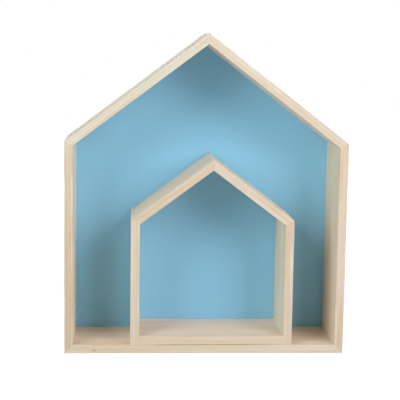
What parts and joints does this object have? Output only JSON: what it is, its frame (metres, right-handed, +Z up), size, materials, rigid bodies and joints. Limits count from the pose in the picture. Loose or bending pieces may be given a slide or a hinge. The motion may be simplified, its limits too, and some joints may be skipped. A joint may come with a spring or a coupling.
{
  "type": "house-shaped wall shelf",
  "caption": "House-shaped wooden wall shelf with mitred boards, a painted back panel and keyhole hangers, with a smaller open house of the same boards standing loose inside it.",
  "frame": {"origin": "middle of the underside of the large house's floor board, which it stands on", "axes": "+Z up, +X to the right seen from the open front, the open front faces -Y and the wall side faces +Y"},
  "size_m": [0.3, 0.0885, 0.341],
  "materials": {
    "large_wood": "bare sanded softwood",
    "small_wood": "bare sanded softwood",
    "wood_filler": "tinted filler sanded flush",
    "painted_panel": "matt blue paint on thin board",
    "nail_steel": "bright wire",
    "hanger_steel": "zinc plated",
    "screw_steel": "zinc plated"
  },
  "bodies": {
    "large_house": {"large_floor": "large_wood", "large_right_wall": "large_wood", "large_right_roof": "large_wood", "large_left_roof": "large_wood", "large_left_wall": "large_wood", "large_back_panel": "painted_panel", "large_corner_brads": "nail_steel", "large_brad_filler": "wood_filler", "large_panel_pins": "nail_steel", "left_hanger": "hanger_steel", "right_hanger": "hanger_steel", "hanger_screws": "screw_steel"},
    "small_house": {"small_floor": "small_wood", "small_right_wall": "small_wood", "small_right_roof": "small_wood", "small_left_roof": "small_wood", "small_left_wall": "small_wood", "small_corner_brads": "nail_steel", "small_brad_filler": "wood_filler"}
  },
  "joints": [
    {"name": "small_house_draw", "type": "slide", "parent": "large_house", "child": "small_house", "axis": [0, -1, 0], "range_m": [0, 0.1]}
  ]
}
